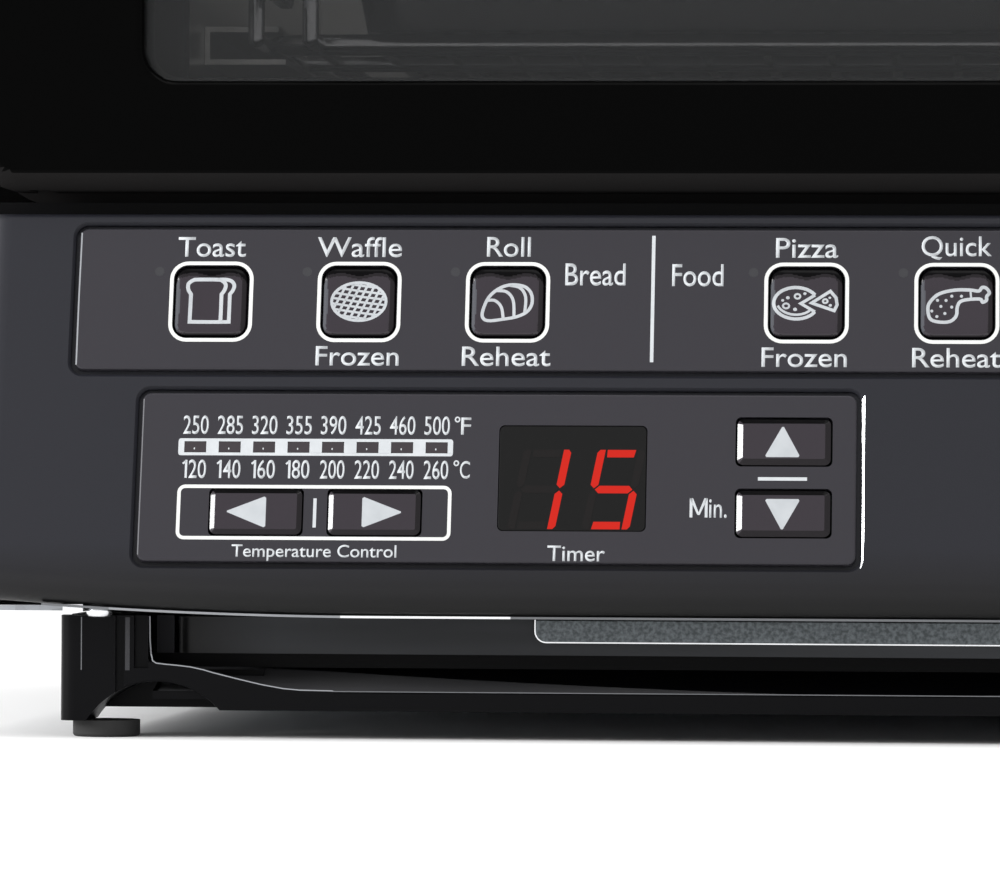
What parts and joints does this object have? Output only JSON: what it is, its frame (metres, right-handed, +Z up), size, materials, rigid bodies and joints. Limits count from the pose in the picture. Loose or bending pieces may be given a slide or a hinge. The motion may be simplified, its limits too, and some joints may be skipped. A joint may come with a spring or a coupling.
{
  "type": "toaster oven",
  "caption": "Compact countertop toaster oven: drop-down glass door that draws the rack out, infrared tube heaters, keypad fascia with timer window below the door, pull-out crumb tray.",
  "frame": {"origin": "centre of the whole footprint, handle and wall spacers included, on the surface the feet stand on", "axes": "+X to the right seen from the front; the front and the handle face -Y; +Z up"},
  "size_m": [0.33, 0.305, 0.26],
  "materials": {
    "shell_enamel": "semi-gloss dark grey enamel",
    "galvanised_steel": "plain zinc-coated sheet",
    "reflector_steel": "bright aluminised sheet",
    "black_plastic": "fine-textured black moulding",
    "fascia_plastic": "fine-textured charcoal moulding",
    "plate_plastic": "satin charcoal trim plate",
    "key_plastic": "glossy charcoal key top",
    "start_key_plastic": "glossy charcoal key with a green ring",
    "feet_rubber": "black rubber",
    "quartz": "clear to milky quartz tube",
    "filament": "wound resistance wire",
    "ceramic": "unglazed ceramic",
    "chromed_wire": "bright plated wire",
    "tray_enamel": "black enamelled sheet",
    "crumb_tray_steel": "dulled plain sheet",
    "door_plastic": "dark satin door moulding",
    "pane": "clear toughened glass",
    "handle_silver": "silver-painted moulding",
    "window_smoke": "smoked lens",
    "module_case": "black epoxy block",
    "lamp_lens": "frosted light pipe",
    "board_green": "printed circuit board",
    "switch_black": "moulded switch",
    "cable_grey": "flat ribbon lead"
  },
  "bodies": {
    "cabinet": {"outer_shell": "shell_enamel", "rear_panel": "galvanised_steel", "cord_bush": "black_plastic", "rear_spacers": "black_plastic", "front_frame": "shell_enamel", "base_pan": "galvanised_steel", "base_front": "black_plastic", "base_skirt": "black_plastic", "rubber_feet": "feet_rubber", "cavity_wrap": "reflector_steel", "cavity_back": "reflector_steel", "cavity_front_wall": "shell_enamel", "rack_rails": "reflector_steel", "upper_front_heater": "quartz", "upper_rear_heater": "quartz", "lower_front_heater": "quartz", "lower_rear_heater": "quartz", "heater_filaments": "filament", "heater_end_caps": "ceramic", "upper_heater_guard": "chromed_wire", "lower_heater_guard": "chromed_wire", "temperature_sensor": "chromed_wire", "thermal_cutoff": "black_plastic", "hinge_brackets": "galvanised_steel", "control_fascia": "fascia_plastic", "preset_plate": "plate_plastic", "timer_plate": "plate_plastic", "start_plate": "plate_plastic", "display_window": "window_smoke", "display_module": "module_case", "lamp_lenses": "lamp_lens", "control_board": "board_green", "tact_switches": "switch_black", "power_board": "board_green", "ribbon_cable": "cable_grey", "case_screws": "chromed_wire"},
    "rack": {"wire_rack": "chromed_wire"},
    "pan": {"baking_tray": "tray_enamel"},
    "crumb_drawer": {"crumb_tray": "crumb_tray_steel", "crumb_tray_pull": "galvanised_steel"},
    "door": {"door_frame": "door_plastic", "door_glass": "pane", "door_inner_frame": "tray_enamel", "door_handle": "handle_silver", "handle_screws": "chromed_wire", "hinge_pins": "chromed_wire", "door_springs": "chromed_wire", "rack_hooks": "chromed_wire"},
    "toast_button": {"toast_key": "key_plastic"},
    "waffle_button": {"waffle_key": "key_plastic"},
    "roll_button": {"roll_key": "key_plastic"},
    "pizza_button": {"pizza_key": "key_plastic"},
    "reheat_button": {"reheat_key": "key_plastic"},
    "potato_button": {"potato_key": "key_plastic"},
    "temperature_down_button": {"temperature_down_key": "key_plastic"},
    "temperature_up_button": {"temperature_up_key": "key_plastic"},
    "timer_up_button": {"timer_up_key": "key_plastic"},
    "timer_down_button": {"timer_down_key": "key_plastic"},
    "power_button": {"power_key": "key_plastic"},
    "start_button": {"start_key": "start_key_plastic"}
  },
  "joints": [
    {"name": "door_hinge", "type": "hinge", "parent": "cabinet", "child": "door", "pos_m": [0, -0.119, 0.103], "axis": [1, 0, 0], "range_deg": [0, 90], "stiffness_Nm_per_rad": 0.15, "springref_deg": -34.38},
    {"name": "rack_slide", "type": "slide", "parent": "cabinet", "child": "rack", "axis": [0, -1, 0], "range_m": [0, 0.0681]},
    {"name": "crumb_tray_slide", "type": "slide", "parent": "cabinet", "child": "crumb_drawer", "axis": [0, -1, 0], "range_m": [0, 0.23]},
    {"name": "pan_lift", "type": "slide", "parent": "rack", "child": "pan", "axis": [0, 0, 1], "range_m": [0, 0.012]},
    {"name": "toast_press", "type": "slide", "parent": "cabinet", "child": "toast_button", "axis": [0, 0.9636, -0.2672], "range_m": [0, 0.0008], "stiffness_N_per_m": 600, "springref_m": -0.0003},
    {"name": "waffle_press", "type": "slide", "parent": "cabinet", "child": "waffle_button", "axis": [0, 0.9636, -0.2672], "range_m": [0, 0.0008], "stiffness_N_per_m": 600, "springref_m": -0.0003},
    {"name": "roll_press", "type": "slide", "parent": "cabinet", "child": "roll_button", "axis": [0, 0.9636, -0.2672], "range_m": [0, 0.0008], "stiffness_N_per_m": 600, "springref_m": -0.0003},
    {"name": "pizza_press", "type": "slide", "parent": "cabinet", "child": "pizza_button", "axis": [0, 0.9636, -0.2672], "range_m": [0, 0.0008], "stiffness_N_per_m": 600, "springref_m": -0.0003},
    {"name": "reheat_press", "type": "slide", "parent": "cabinet", "child": "reheat_button", "axis": [0, 0.9636, -0.2672], "range_m": [0, 0.0008], "stiffness_N_per_m": 600, "springref_m": -0.0003},
    {"name": "potato_press", "type": "slide", "parent": "cabinet", "child": "potato_button", "axis": [0, 0.9636, -0.2672], "range_m": [0, 0.0008], "stiffness_N_per_m": 600, "springref_m": -0.0003},
    {"name": "temperature_down_press", "type": "slide", "parent": "cabinet", "child": "temperature_down_button", "axis": [0, 0.9636, -0.2672], "range_m": [0, 0.0008], "stiffness_N_per_m": 600, "springref_m": -0.0003},
    {"name": "temperature_up_press", "type": "slide", "parent": "cabinet", "child": "temperature_up_button", "axis": [0, 0.9636, -0.2672], "range_m": [0, 0.0008], "stiffness_N_per_m": 600, "springref_m": -0.0003},
    {"name": "timer_up_press", "type": "slide", "parent": "cabinet", "child": "timer_up_button", "axis": [0, 0.9636, -0.2672], "range_m": [0, 0.0008], "stiffness_N_per_m": 600, "springref_m": -0.0003},
    {"name": "timer_down_press", "type": "slide", "parent": "cabinet", "child": "timer_down_button", "axis": [0, 0.9636, -0.2672], "range_m": [0, 0.0008], "stiffness_N_per_m": 600, "springref_m": -0.0003},
    {"name": "power_press", "type": "slide", "parent": "cabinet", "child": "power_button", "axis": [0, 0.9636, -0.2672], "range_m": [0, 0.0008], "stiffness_N_per_m": 600, "springref_m": -0.0003},
    {"name": "start_press", "type": "slide", "parent": "cabinet", "child": "start_button", "axis": [0, 0.9636, -0.2672], "range_m": [0, 0.0008], "stiffness_N_per_m": 600, "springref_m": -0.0003}
  ],
  "couplings": [
    {"joint": "rack_slide", "follows": "door_hinge", "m_per_rad": 0.04329}
  ]
}
